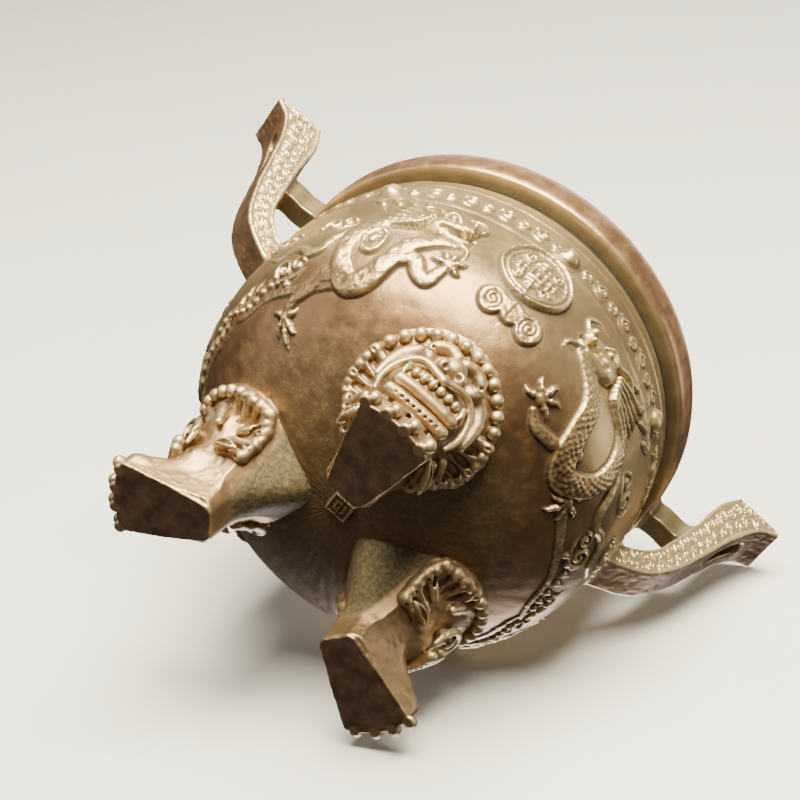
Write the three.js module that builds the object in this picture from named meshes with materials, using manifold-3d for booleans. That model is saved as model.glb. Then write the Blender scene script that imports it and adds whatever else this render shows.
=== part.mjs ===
// Tripod incense burner in cast bronze: a round bowl on three lion-mask legs, with two upright
// S-curved handles, each tied to the lip by a short square strut.
// Units are millimetres, +Z is up. The origin lies on the ground under the middle of the bowl.
// The front, with the medallion, faces -Y. The handles stand at -X (left) and +X (right).
import * as THREE from 'three';
import { ConvexGeometry } from 'three/addons/geometries/ConvexGeometry.js';
import { mergeVertices } from 'three/addons/utils/BufferGeometryUtils.js';
import Module from 'manifold-3d';

const wasm = await Module();
wasm.setup();

// ---- driving dimensions --------------------------------------------------------------------
const JOIN_GAP = 0.3; // clearance kept between two castings that are brazed together

const RIM_TOP_Z = 80.8;
const RIM_FLAT_OUTER_R = 42.4;
const RIM_FLAT_INNER_R = 39.6;
const LIP_R = 44;
const LIP_LOWER_Z = 72.6;
const NECK_R = 39.8;
const SHOULDER_R = 41.7;
const SHOULDER_Z = 70;

const BELLY_R = 42.5;
const BELLY_Z = 46; // height of the widest circle of the lower half
const BELLY_DROP = 28.6; // from that circle down to the bottom
const BELLY_UPPER_R = 42.9;
const WALL = 3;
const INNER_FLOOR_R = 9;
const INNER_NECK_R = 37;
const LATHE_SEGMENTS = 60;

const BOSS_ANGLES = [-48, 0, 48, 132, 180, 228]; // degrees from the front, clear of the handles
const BOSS_R = 2.3;
const BOSS_Z = 60.8;
const BOSS_CENTRE_R = 42.4;

const MEDALLION_R = 7.6;
const MEDALLION_Z = 49.6;
const MEDALLION_FACE_Y = 43.7;
const MEDALLION_DEPTH = 4;

const HANDLE_FOOT_Z = 46;
const HANDLE_TOP_Z = 94;
const HANDLE_FOOT_HALF = 3.9; // half of the width, measured along Y
const HANDLE_TOP_HALF = 5.7;
const WINDOW_HALF = 1.9;
const WINDOW_LOW_Z = 77.5;
const WINDOW_HIGH_Z = 88.5;

const STRUT_WIDTH = 4.7;
const STRUT_HEIGHT = 5.8;
const STRUT_Z = 77; // middle of the strut
const STRUT_INNER_X = 40;
const STRUT_OUTER_X = 57;

// Each leg's paw points along `angle`. Its lion's head is turned about the bowl's axis by `turn`,
// because the legs were fitted by hand: its mane is set `maneInward` nearer to the axis, and its
// face `inward` nearer and `up` higher than on the front leg.
const LEGS = {
  leg_front: { angle: -90, turn: 0, maneInward: 0, inward: 0, up: 0 },
  leg_right: { angle: 30, turn: -6, maneInward: 2, inward: 3.5, up: 1.5 },
  leg_left: { angle: 150, turn: 3, maneInward: 3, inward: 4, up: -1 },
};
const HEEL_R = 17;
const ANKLE_R = 27;
const TOE_R = 38.6;
const HEEL_HALF = 2.6;
const ARCH_HALF = 3.9; // halfway between the heel and the ankle
const ANKLE_HALF = 5.7;
const TOE_HALF = 6.9;
const PAW_HEIGHT = 7.4; // under the shank
const INSTEP_R = 30; // where the instep starts to slope
const TOE_HEIGHT = 3.6; // at the toes, where the instep has sloped down
const TOE_COUNT = 4;
const TOE_PITCH = 2 * TOE_HALF / TOE_COUNT;
const CLAW_R = 1.5;
const CLAW_Z = 1.8;

// Features of the lion's head, as balls: `at` is distance from the axis, offset across, height.
const FACE = { radius: 6.8, at: [29.6, 0, 20.6], stretch: [1, 1.24, 1.08] };
const MUZZLE = { radius: 3.8, at: [33.2, 0, 17.2], stretch: [1, 1.35, 1.15] };
const NOSE = { radius: 2, at: [35.6, 0, 20.8], stretch: [1, 1.4, 1.1] };
const EYE = { radius: 2, at: [33.4, 4.8, 23.6], stretch: [1, 1, 1] };
const BROW = { radius: 1.7, at: [33.6, 4, 26.4], stretch: [1, 2, 0.8] };
const EAR = { radius: 1.8, at: [28.4, 8.6, 20.4], stretch: [1.5, 0.8, 1] };

const MANE_BEADS = 12;
const MANE_BEAD_R = 1.25;
const MANE_HALF_WIDTH = 12.9;
const MANE_MIDDLE_R = 23.2; // distance of the mane's middle from the bowl's axis
const MANE_REACH = 12.1; // from there outward to its top bead
const MANE_SPAN = 0.71 * Math.PI; // the arc that the beads cover
const MANE_THICKNESS = 1.6; // how far the mane's plate stands off the belly
const MANE_ROOT_DEPTH = 3; // how far it reaches into the belly, where it is cut away

// ---- materials -----------------------------------------------------------------------------
const bronze = (color, roughness) => new THREE.MeshStandardMaterial({ color, roughness, metalness: 1 });
const BOWL_BRONZE = 0x7a5a45;
const LEG_BRONZE = 0x8a6a4c;
const HANDLE_BRONZE = 0x9a7652;
const STRUT_BRONZE = 0xa08a5c;

// ---- solids --------------------------------------------------------------------------------
function solidOf(geometry) {
  const bare = geometry.index ? geometry.toNonIndexed() : geometry.clone();
  bare.deleteAttribute('normal');
  bare.deleteAttribute('uv');
  const merged = mergeVertices(bare, 1e-5);
  const vertProperties = new Float32Array(merged.attributes.position.array);
  const triVerts = new Uint32Array(merged.index.array);
  const mesh = new wasm.Mesh({ numProp: 3, vertProperties, triVerts });
  return new wasm.Manifold(mesh);
}

function geometryOf(solid) {
  const mesh = solid.getMesh();
  const geometry = new THREE.BufferGeometry();
  geometry.setAttribute('position', new THREE.BufferAttribute(new Float32Array(mesh.vertProperties), 3));
  geometry.setIndex(new THREE.BufferAttribute(new Uint32Array(mesh.triVerts), 1));
  geometry.computeVertexNormals();
  return geometry;
}

function union(solids) {
  return solids.reduce((whole, piece) => whole.add(piece));
}

function ball({ radius, at, stretch = [1, 1, 1] }, columns = 10, rows = 6) {
  const geometry = new THREE.SphereGeometry(radius, columns, rows);
  geometry.scale(...stretch);
  geometry.translate(...at);
  return solidOf(geometry);
}

// ---- bowl ----------------------------------------------------------------------------------
// Radius and height of the belly's outer wall, from the bottom (share 0) to its widest lower
// circle (share 1); grow moves the wall outward.
function lowerBelly(share, grow = 0) {
  const angle = share * Math.PI / 2;
  const radius = (BELLY_R + grow) * Math.sin(angle);
  const height = BELLY_Z - (BELLY_DROP + grow) * Math.cos(angle);
  return new THREE.Vector2(radius, height);
}

function upperBelly(grow = 0) {
  const middle = (BELLY_Z + SHOULDER_Z) / 2;
  return new THREE.SplineCurve([
    new THREE.Vector2(BELLY_R + grow, BELLY_Z),
    new THREE.Vector2(BELLY_UPPER_R + grow, middle),
    new THREE.Vector2(SHOULDER_R + grow, SHOULDER_Z - 1),
  ]).getPoints(4);
}

function outerProfile(grow = 0) {
  const steps = 9;
  const points = [];
  for (let step = 0; step < steps; step += 1) {
    points.push(lowerBelly(step / steps, grow));
  }
  points.push(...upperBelly(grow));
  const lipMiddle = (LIP_LOWER_Z + RIM_TOP_Z) / 2;
  const ring = [
    [SHOULDER_R - 0.3, SHOULDER_Z],
    [NECK_R, SHOULDER_Z + 0.8],
    [NECK_R, LIP_LOWER_Z - 0.6],
    [LIP_R - 0.5, LIP_LOWER_Z - grow],
    [LIP_R, LIP_LOWER_Z + 0.6],
    [LIP_R, lipMiddle],
    [LIP_R - 0.5, RIM_TOP_Z - 1.2],
    [RIM_FLAT_OUTER_R, RIM_TOP_Z + grow],
  ];
  points.push(...ring.map(([radius, height]) => new THREE.Vector2(radius + grow, height)));
  return points;
}

function innerProfile() {
  const steps = 6;
  const points = [
    new THREE.Vector2(RIM_FLAT_INNER_R, RIM_TOP_Z),
    new THREE.Vector2(INNER_NECK_R + 1.4, RIM_TOP_Z - 2),
    new THREE.Vector2(INNER_NECK_R, LIP_LOWER_Z),
    new THREE.Vector2(INNER_NECK_R, SHOULDER_Z + 1),
    new THREE.Vector2(BELLY_UPPER_R - WALL, SHOULDER_Z - 6),
  ];
  const floorShare = Math.asin(INNER_FLOOR_R / (BELLY_R - WALL)) / (Math.PI / 2);
  for (let step = 0; step <= steps; step += 1) {
    const share = 1 - (1 - floorShare) * step / steps;
    points.push(lowerBelly(share, -WALL));
  }
  const floor = points[points.length - 1];
  points.push(new THREE.Vector2(0, floor.y));
  return points;
}

function lathe(profile) {
  const geometry = new THREE.LatheGeometry(profile, LATHE_SEGMENTS);
  geometry.rotateX(Math.PI / 2); // the lathe turns about Y, the bowl stands along Z
  return solidOf(geometry);
}

// The filled bowl with its wall grown by the joining gap: legs, handles and struts are cut by it.
function bowlEnvelope() {
  const profile = outerProfile(JOIN_GAP);
  profile.push(new THREE.Vector2(0, RIM_TOP_Z + JOIN_GAP));
  return lathe(profile);
}

function medallion(turn) {
  const disc = new THREE.CylinderGeometry(MEDALLION_R, MEDALLION_R + 0.6, MEDALLION_DEPTH, 32);
  disc.translate(0, MEDALLION_FACE_Y - MEDALLION_DEPTH / 2, MEDALLION_Z);
  disc.rotateZ(turn);
  return solidOf(disc);
}

function boss(degrees) {
  const angle = THREE.MathUtils.degToRad(degrees - 90);
  const at = [BOSS_CENTRE_R * Math.cos(angle), BOSS_CENTRE_R * Math.sin(angle), BOSS_Z];
  return ball({ radius: BOSS_R, at });
}

function bowl() {
  const vessel = lathe([...outerProfile(), ...innerProfile()]);
  const relief = union([...BOSS_ANGLES.map(boss), medallion(0), medallion(Math.PI)]);
  const hollow = lathe([
    new THREE.Vector2(0, RIM_TOP_Z + 1),
    new THREE.Vector2(INNER_NECK_R + 1, RIM_TOP_Z + 1),
    ...innerProfile().slice(2),
  ].reverse());
  return vessel.add(relief.subtract(hollow));
}

// ---- handles -------------------------------------------------------------------------------
// Outline of the right handle seen from the front, as an S that leaves the belly, climbs past
// the lip and flares to a square-cut end.
function handleSideOutline() {
  const outer = new THREE.SplineCurve([
    new THREE.Vector2(38, 49.6),
    new THREE.Vector2(45, 52.9),
    new THREE.Vector2(51.4, 58),
    new THREE.Vector2(55.4, 66),
    new THREE.Vector2(58.2, 75.5),
    new THREE.Vector2(60.8, 84),
    new THREE.Vector2(63.6, 89.8),
    new THREE.Vector2(67, 92.4),
  ]).getPoints(22);
  const inner = new THREE.SplineCurve([
    new THREE.Vector2(56.4, HANDLE_TOP_Z),
    new THREE.Vector2(53.8, 88),
    new THREE.Vector2(52.6, 79.5),
    new THREE.Vector2(51, 71.5),
    new THREE.Vector2(48.9, 64.2),
    new THREE.Vector2(44.6, 59.6),
    new THREE.Vector2(38, 57.4),
  ]).getPoints(20);
  return new THREE.Shape([...outer, new THREE.Vector2(66.7, HANDLE_TOP_Z - 0.4), ...inner]);
}

// Outline of a handle seen from its side: narrow at the foot, wide at the top, with a slot.
function handleFrontOutline() {
  const side = (sign) => new THREE.SplineCurve([
    new THREE.Vector2(sign * HANDLE_FOOT_HALF, HANDLE_FOOT_Z),
    new THREE.Vector2(sign * (HANDLE_FOOT_HALF + 0.1), 58),
    new THREE.Vector2(sign * (HANDLE_FOOT_HALF + 0.7), 70),
    new THREE.Vector2(sign * (HANDLE_TOP_HALF - 0.5), 82),
    new THREE.Vector2(sign * HANDLE_TOP_HALF, HANDLE_TOP_Z + 1),
  ]).getPoints(12);
  const outline = new THREE.Shape([...side(1), ...side(-1).reverse()]);
  const slot = new THREE.Path();
  slot.absarc(0, WINDOW_HIGH_Z - WINDOW_HALF, WINDOW_HALF, 0, Math.PI, false);
  slot.absarc(0, WINDOW_LOW_Z + WINDOW_HALF, WINDOW_HALF, Math.PI, 2 * Math.PI, false);
  slot.closePath();
  outline.holes.push(slot);
  return outline;
}

function handle(envelope) {
  const width = 4 * HANDLE_TOP_HALF;
  const profile = new THREE.ExtrudeGeometry(handleSideOutline(), { depth: width, bevelEnabled: false });
  profile.translate(0, 0, -width / 2);
  profile.rotateX(Math.PI / 2);
  const reach = 40;
  const front = new THREE.ExtrudeGeometry(handleFrontOutline(), {
    depth: reach, bevelEnabled: false, curveSegments: 6,
  });
  front.rotateX(Math.PI / 2);
  front.rotateZ(Math.PI / 2);
  front.translate(STRUT_INNER_X - 10, 0, 0);
  return solidOf(profile).intersect(solidOf(front)).subtract(envelope);
}

function strut(envelope) {
  const length = STRUT_OUTER_X - STRUT_INNER_X;
  const bar = new THREE.BoxGeometry(length, STRUT_WIDTH, STRUT_HEIGHT);
  bar.translate(STRUT_INNER_X + length / 2, 0, STRUT_Z);
  // the handle's outline, moved inward by the joining gap, trims the strut's outer end
  const trim = new THREE.ExtrudeGeometry(handleSideOutline(), { depth: 12, bevelEnabled: false });
  trim.translate(-JOIN_GAP, 0, -6);
  trim.rotateX(Math.PI / 2);
  const beyond = new THREE.BoxGeometry(10, 12, 20);
  beyond.translate(STRUT_OUTER_X + 2, 0, STRUT_Z);
  return solidOf(bar).subtract(envelope).subtract(solidOf(trim)).subtract(solidOf(beyond));
}

// ---- legs ----------------------------------------------------------------------------------
// A leg is drawn pointing along +X: x is the distance from the bowl's axis and y runs across.
function soleOutline() {
  const shape = new THREE.Shape();
  const heelCorner = HEEL_R + 0.8;
  const archR = HEEL_R + 3;
  const cleftR = TOE_R - 1.3; // between two toes
  shape.moveTo(heelCorner, -HEEL_HALF);
  shape.quadraticCurveTo(archR, -ARCH_HALF, ANKLE_R, -ANKLE_HALF);
  shape.lineTo(TOE_R - 3, -TOE_HALF);
  for (let toe = 0; toe < TOE_COUNT; toe += 1) {
    const start = -TOE_HALF + toe * TOE_PITCH;
    shape.lineTo(cleftR, start);
    shape.quadraticCurveTo(TOE_R + 0.6, start + TOE_PITCH / 2, cleftR, start + TOE_PITCH);
  }
  shape.lineTo(TOE_R - 3, TOE_HALF);
  shape.lineTo(ANKLE_R, ANKLE_HALF);
  shape.quadraticCurveTo(archR, ARCH_HALF, heelCorner, HEEL_HALF);
  shape.quadraticCurveTo(HEEL_R - 0.4, 0, heelCorner, -HEEL_HALF);
  return shape;
}

function paw() {
  const slab = new THREE.ExtrudeGeometry(soleOutline(), {
    depth: PAW_HEIGHT, bevelEnabled: false, curveSegments: 4,
  });
  // the instep slopes from the shank down to the toes
  const beyond = TOE_R + 2;
  const above = PAW_HEIGHT + 2;
  const instep = new THREE.Shape();
  instep.moveTo(INSTEP_R, PAW_HEIGHT);
  instep.lineTo(beyond, TOE_HEIGHT);
  instep.lineTo(beyond, above);
  instep.lineTo(INSTEP_R, above);
  const slope = new THREE.ExtrudeGeometry(instep, { depth: 4 * TOE_HALF, bevelEnabled: false });
  slope.rotateX(Math.PI / 2);
  slope.translate(0, 2 * TOE_HALF, 0);
  const claws = Array.from({ length: TOE_COUNT }, (unused, toe) => {
    const across = -TOE_HALF + (toe + 0.5) * TOE_PITCH;
    return ball({ radius: CLAW_R, at: [TOE_R - 0.2, across, CLAW_Z], stretch: [0.9, 1, 1.1] }, 8, 6);
  });
  return union([solidOf(slab).subtract(solidOf(slope)), ...claws]);
}

// The convex solid round the given points and their mirror images across the leg.
function hull(points) {
  const bothSides = points.flatMap(([x, y, z]) => [
    new THREE.Vector3(x, y, z),
    new THREE.Vector3(x, -y, z),
  ]);
  return solidOf(new ConvexGeometry(bothSides));
}

// The shank stands on the paw and is cut off just above it, inside the root.
function shank() {
  const low = 1;
  const high = 14;
  const heel = [[HEEL_R + 0.6, HEEL_HALF, low], [HEEL_R, HEEL_HALF - 1.2, low]];
  const ankle = [[ANKLE_R + 1, ANKLE_HALF, low], [ANKLE_R + 2.5, ANKLE_HALF - 0.3, PAW_HEIGHT]];
  const top = [[HEEL_R + 0.2, 6, high], [HEEL_R - 1.4, 5, high], [ANKLE_R + 2, 7, high - 1]];
  return hull([...heel, ...ankle, ...top]);
}

// The flared root that joins the shank and the head to the belly: narrow on the shank, wide
// along the mane.
function root(inward) {
  const foot = [[16.4, 5, 10], [27, 6.4, 9.5], [29.5, 5.2, 11.5]];
  const back = [[9.5, 5, 18.5], [13.4, 8.5, 19.5]];
  const crest = [[19, 7.6, 11.5], [18.6, 9.4, 14.5], [18.4, 11.6, 18.5], [20.4, 13, 22.3]];
  const front = [[30.5, 9.8, 26.6], [34.6, 3.4, 29.4], [34, 5.2, 20]];
  const insideBelly = [[12, 6, 25], [24, 6, 31]];
  const flared = [...back, ...crest, ...front, ...insideBelly];
  return hull([...foot, ...flared.map(([x, y, z]) => [x - inward, y, z])]);
}

// A point of the mane's rim: turn 0 is its top, and grow is its distance outside the belly wall.
function manePoint(turn, grow, inward) {
  const reach = MANE_MIDDLE_R - inward + MANE_REACH * Math.cos(turn);
  const across = MANE_HALF_WIDTH * Math.sin(turn);
  const share = Math.asin(Math.hypot(reach, across) / BELLY_R) / (Math.PI / 2);
  return [reach, across, lowerBelly(share, grow).y];
}

function manePlate(inward) {
  const steps = 16;
  const lastTurn = 0.8 * Math.PI; // the plate reaches a little further back than the beads
  const points = [];
  for (let step = 0; step <= steps; step += 1) {
    const turn = step / steps * lastTurn;
    points.push(manePoint(turn, MANE_THICKNESS, inward));
    points.push(manePoint(turn, -MANE_ROOT_DEPTH, inward));
  }
  return hull(points);
}

function mirrored(feature) {
  const [x, y, z] = feature.at;
  return { ...feature, at: [x, -y, z] };
}

// The lion's head: cheeks, muzzle, nose, eyes, brow ridges, ears and a ring of mane beads.
function lionHead({ maneInward, inward, up }) {
  const face = [ball(FACE, 12, 8), ball(MUZZLE, 10, 8), ball(NOSE, 8, 6)];
  for (const feature of [EYE, BROW, EAR]) {
    face.push(ball(feature, 8, 6), ball(mirrored(feature), 8, 6));
  }
  const beads = Array.from({ length: MANE_BEADS }, (unused, bead) => {
    const turn = (bead / (MANE_BEADS - 1) - 0.5) * MANE_SPAN;
    return ball({ radius: MANE_BEAD_R, at: manePoint(turn, 1.6, maneInward) }, 7, 4);
  });
  const movedFace = union(face).translate([-inward, 0, up]);
  return union([root(maneInward), manePlate(maneInward), movedFace, ...beads]);
}

function leg(envelope, fit) {
  const head = lionHead(fit).rotate([0, 0, fit.turn]);
  return union([paw(), shank(), head]).subtract(envelope);
}

// ---- assembly ------------------------------------------------------------------------------
function piece(name, solid, color, roughness, turn = 0) {
  const mesh = new THREE.Mesh(geometryOf(solid), bronze(color, roughness));
  mesh.name = name;
  mesh.rotation.z = turn;
  return mesh;
}

const envelope = bowlEnvelope();
const handleSolid = handle(envelope);
const strutSolid = strut(envelope);

const burner = new THREE.Group();
burner.add(piece('bowl', bowl(), BOWL_BRONZE, 0.42));
burner.add(piece('handle_right', handleSolid, HANDLE_BRONZE, 0.38));
burner.add(piece('handle_left', handleSolid, HANDLE_BRONZE, 0.38, Math.PI));
burner.add(piece('handle_strut_right', strutSolid, STRUT_BRONZE, 0.45));
burner.add(piece('handle_strut_left', strutSolid, STRUT_BRONZE, 0.45, Math.PI));
for (const [name, fit] of Object.entries(LEGS)) {
  const turn = THREE.MathUtils.degToRad(fit.angle);
  burner.add(piece(name, leg(envelope, fit), LEG_BRONZE, 0.4, turn));
}

export default burner;
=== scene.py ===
"""A small cast-bronze tripod incense burner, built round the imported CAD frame.

The bowl is one lathed grid whose wall is raised by relief drawn as paths on it. Legs, handles and
struts are modelled as fields on fine grids, joined and cut smoothly like clay, and meshed.
Shapes are drawn in millimetres in the CAD frame: +Z up, the front towards -Y, handles at -X and +X.
"""
import math

import bpy
import numpy as np
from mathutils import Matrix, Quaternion, Vector


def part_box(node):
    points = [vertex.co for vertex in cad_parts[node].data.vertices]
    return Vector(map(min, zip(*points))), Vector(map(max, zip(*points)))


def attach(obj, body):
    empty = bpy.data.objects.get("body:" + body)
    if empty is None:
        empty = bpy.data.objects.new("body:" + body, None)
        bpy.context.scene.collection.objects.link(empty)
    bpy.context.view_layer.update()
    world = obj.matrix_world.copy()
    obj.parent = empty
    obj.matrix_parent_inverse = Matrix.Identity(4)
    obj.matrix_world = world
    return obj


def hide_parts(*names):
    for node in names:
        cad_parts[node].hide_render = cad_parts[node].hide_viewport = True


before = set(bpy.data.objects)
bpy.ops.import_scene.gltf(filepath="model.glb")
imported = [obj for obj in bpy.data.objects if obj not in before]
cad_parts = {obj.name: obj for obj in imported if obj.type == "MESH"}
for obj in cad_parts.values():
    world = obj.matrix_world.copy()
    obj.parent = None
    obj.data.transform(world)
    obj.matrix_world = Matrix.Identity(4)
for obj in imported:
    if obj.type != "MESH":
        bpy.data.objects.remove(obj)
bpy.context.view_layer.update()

MM = 0.001
bowl_low, bowl_high = [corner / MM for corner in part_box("bowl")]

# ---- the bowl's sizes, in millimetres --------------------------------------------------------
RIM_TOP_Z = bowl_high.z
BOTTOM_Z = bowl_low.z
BELLY_R = 42.5
BELLY_Z = 46.0
BELLY_DROP = BELLY_Z - BOTTOM_Z
WALL = 3.0
COLUMNS = 1080  # of vertices round the bowl
DEGREE = 0.74  # the length of one degree round the belly
MEDALLION_Z = 49.6
MEDALLION_R = 7.6
BOSS_R = 2.3


# ---- curves ----------------------------------------------------------------------------------
def spline(points, step):
    """A smooth path through the points, sampled about every `step`. Points may have any number
    of coordinates, so widths can ride along with places."""
    points = np.asarray(points, float)
    padded = np.vstack([2 * points[0] - points[1], points, 2 * points[-1] - points[-2]])
    pieces = []
    for a, b, c, d in zip(padded[:-3], padded[1:-2], padded[2:-1], padded[3:]):
        count = max(2, int(np.ceil(np.linalg.norm((c - b)[:3]) / step)))
        t = np.linspace(0, 1, count, endpoint=False)[:, None]
        pieces.append(0.5 * (2 * b + (c - a) * t + (2 * a - 5 * b + 4 * c - d) * t ** 2
                             + (3 * b - a - 3 * c + d) * t ** 3))
    return np.vstack(pieces + [points[-1:]])


def rounded(corners):
    """A polyline of (r, z) whose corners (r, z, radius) are rounded off."""
    corners = np.asarray(corners, float)
    path = [corners[0, :2]]
    for before, corner, after in zip(corners[:-2], corners[1:-1], corners[2:]):
        here, radius = corner[:2], corner[2]
        if radius == 0:
            path.append(here)
            continue
        back, ahead = before[:2] - here, after[:2] - here
        start = here + back * min(0.45, radius / np.linalg.norm(back))
        end = here + ahead * min(0.45, radius / np.linalg.norm(ahead))
        for t in np.linspace(0, 1, 7):
            path.append((1 - t) ** 2 * start + 2 * t * (1 - t) * here + t ** 2 * end)
    path.append(corners[-1, :2])
    return np.array(path)


def resampled(path, step):
    """The polyline with a point about every `step` along it."""
    lengths = np.concatenate([[0], np.cumsum(np.linalg.norm(np.diff(path, axis=0), axis=1))])
    count = max(2, int(round(lengths[-1] / step)) + 1)
    places = np.linspace(0, lengths[-1], count)
    return np.stack([np.interp(places, lengths, path[:, i]) for i in range(path.shape[1])], 1)


def lumps(shape, step, seed):
    """Smooth random numbers from -1 to 1 on a grid, with one lump about every `step` cells."""
    coarse = [int(np.ceil(n / step)) + 2 for n in shape]
    values = np.random.default_rng(seed).uniform(-1, 1, coarse).astype(np.float32)
    for axis, count in enumerate(shape):
        place = np.arange(count) / step
        index = place.astype(int)
        share = place - index
        share = (share * share * (3 - 2 * share)).astype(np.float32)
        share = share.reshape([-1 if i == axis else 1 for i in range(len(shape))])
        values = np.take(values, index, axis) * (1 - share) + np.take(values, index + 1, axis) * share
    return values


def eased(value, places):
    """A smooth curve through (place, result) pairs, read at `value`."""
    curve = spline(places, 0.2)
    return np.interp(value, curve[:, 0], curve[:, 1])


# ---- meshes ----------------------------------------------------------------------------------
def make_mesh(name, vertices, quads, triangles=()):
    """A smooth-shaded object from points in millimetres."""
    mesh = bpy.data.meshes.new(name)
    loops = np.concatenate([np.ravel(quads), np.ravel(triangles)]).astype(np.int32)
    sizes = np.concatenate([np.full(len(quads), 4), np.full(len(triangles), 3)])
    starts = np.concatenate([[0], np.cumsum(sizes)[:-1]]).astype(np.int32)
    mesh.vertices.add(len(vertices))
    mesh.vertices.foreach_set("co", (np.asarray(vertices) * MM).astype(np.float32).ravel())
    mesh.loops.add(len(loops))
    mesh.loops.foreach_set("vertex_index", loops)
    mesh.polygons.add(len(sizes))
    mesh.polygons.foreach_set("loop_start", starts)
    mesh.update(calc_edges=True)
    mesh.validate()
    mesh.polygons.foreach_set("use_smooth", np.ones(len(mesh.polygons), bool))
    piece = bpy.data.objects.new(name, mesh)
    bpy.context.scene.collection.objects.link(piece)
    return piece


def vertex_places(mesh):
    """The vertices' places, in millimetres."""
    places = np.zeros(len(mesh.vertices) * 3, np.float32)
    mesh.vertices.foreach_get("co", places)
    return places.reshape(-1, 3) / MM


def set_mask(mesh, name, values):
    """Stores one number from 0 to 1 for each vertex, for the material to read."""
    attribute = mesh.attributes.new(name, "FLOAT", "POINT")
    attribute.data.foreach_set("value", np.clip(values, 0, 1).astype(np.float32))


def relaxed(values, edges, rounds):
    """Values averaged with their neighbours', over and over."""
    count = len(values)
    degree = np.bincount(edges.ravel(), minlength=count)[:, None]
    for _ in range(rounds):
        total = np.empty_like(values)
        for axis in range(values.shape[1]):
            total[:, axis] = np.bincount(edges[:, 0], values[edges[:, 1], axis], count)
            total[:, axis] += np.bincount(edges[:, 1], values[edges[:, 0], axis], count)
        values = 0.5 * values + 0.5 * total / np.maximum(degree, 1)
    return values


def set_wear_masks(mesh, fine_rounds, broad_rounds):
    """Finds raised edges, where hands rub the patina off, and hollows, where dirt gathers."""
    points = vertex_places(mesh).astype(float)
    normals = np.zeros(points.size, np.float32)
    mesh.vertex_normals.foreach_get("vector", normals)
    edges = np.zeros(len(mesh.edges) * 2, np.int32)
    mesh.edges.foreach_get("vertices", edges)
    normals = normals.reshape(-1, 3)
    edges = edges.reshape(-1, 2)
    fine = relaxed(points, edges, fine_rounds)
    broad = relaxed(fine, edges, broad_rounds)
    fine_height = np.sum((points - fine) * normals, 1)
    broad_height = np.sum((fine - broad) * normals, 1)
    set_mask(mesh, "ridge", fine_height * 5 + broad_height * 1.4)
    set_mask(mesh, "hollow", -fine_height * 12 - broad_height * 0.8)


# ---- the bowl --------------------------------------------------------------------------------
def lower_belly(grow=0.0, count=200):
    """The belly's wall from the middle of its underside to its widest lower circle."""
    angle = np.linspace(0, 1, count) * np.pi / 2
    return np.stack([(BELLY_R + grow) * np.sin(angle),
                     BELLY_Z - (BELLY_DROP + grow) * np.cos(angle)], 1)


def upper_belly():
    return spline([(BELLY_R, BELLY_Z), (42.9, 58), (41.9, 68.4)], 0.5)


def ellipsoid_distance(x, y, z, radii):
    """About how far a place lies outside an ellipsoid round the origin: negative inside."""
    p = np.sqrt((x / radii[0]) ** 2 + (y / radii[1]) ** 2 + (z / radii[2]) ** 2)
    q = np.sqrt((x / radii[0] ** 2) ** 2 + (y / radii[1] ** 2) ** 2 + (z / radii[2] ** 2) ** 2)
    return np.where(q > 1e-6, p * (p - 1) / np.maximum(q, 1e-6), -min(radii))


def belly_distance(x, y, z):
    """Distance outside the belly's lower half."""
    return ellipsoid_distance(x, y, z - BELLY_Z, (BELLY_R, BELLY_R, BELLY_DROP))


def bowl_profile():
    """Rows of (r, z) from the middle of the underside, over the lip, to the middle inside.
    Rows lie close together where the wall carries relief."""
    belly = np.vstack([lower_belly(), upper_belly()[1:]])
    radius = belly[:, 0]
    seal = belly[radius <= 4.5]
    plain = belly[(radius >= seal[-1, 0]) & (radius <= 29)]
    carved = belly[np.arange(len(belly)) >= len(seal) + len(plain) - 2]
    neck = rounded([
        (41.9, 68.4, 0), (41.75, 70.0, 0.7), (39.9, 70.7, 0.9), (39.8, 72.5, 0.7),
        (43.6, 72.7, 0.7), (44.0, 74.2, 1.0), (43.95, 78.2, 1.6), (43.0, RIM_TOP_Z, 1.6),
        (39.5, RIM_TOP_Z, 1.0), (38.3, 78.6, 2.0), (37.0, 73.0, 2.0), (37.6, 69.5, 3.0),
        (39.9, 63.0, 4.0), (39.6, 50, 0),
    ])
    inside = np.vstack([neck[-1:], lower_belly(-WALL, 60)[::-1]])
    sections = [(seal, 0.25), (plain, 0.6), (carved, 0.23), (neck, 0.3), (inside, 1.2)]
    rows = [resampled(path, step)[:-1] for path, step in sections]
    rows.append(inside[-1:])
    return np.vstack(rows)[1:-1]


PROFILE = bowl_profile()
RIM_ROW = int(np.argmax(PROFILE[:, 1]))


def wall_radius(z):
    """The outer wall's radius at height z."""
    outer = PROFILE[:RIM_ROW]
    return np.interp(z, outer[:, 1], outer[:, 0])


def on_wall(path):
    """Points in space for a path of (degrees from the front, z, ...) on the outer wall."""
    path = np.asarray(path, float)
    angle = np.radians(path[:, 0] - 90)
    radius = wall_radius(path[:, 1])
    place = np.stack([radius * np.cos(angle), radius * np.sin(angle), path[:, 1]], 1)
    return np.hstack([place, path[:, 2:]])


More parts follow.
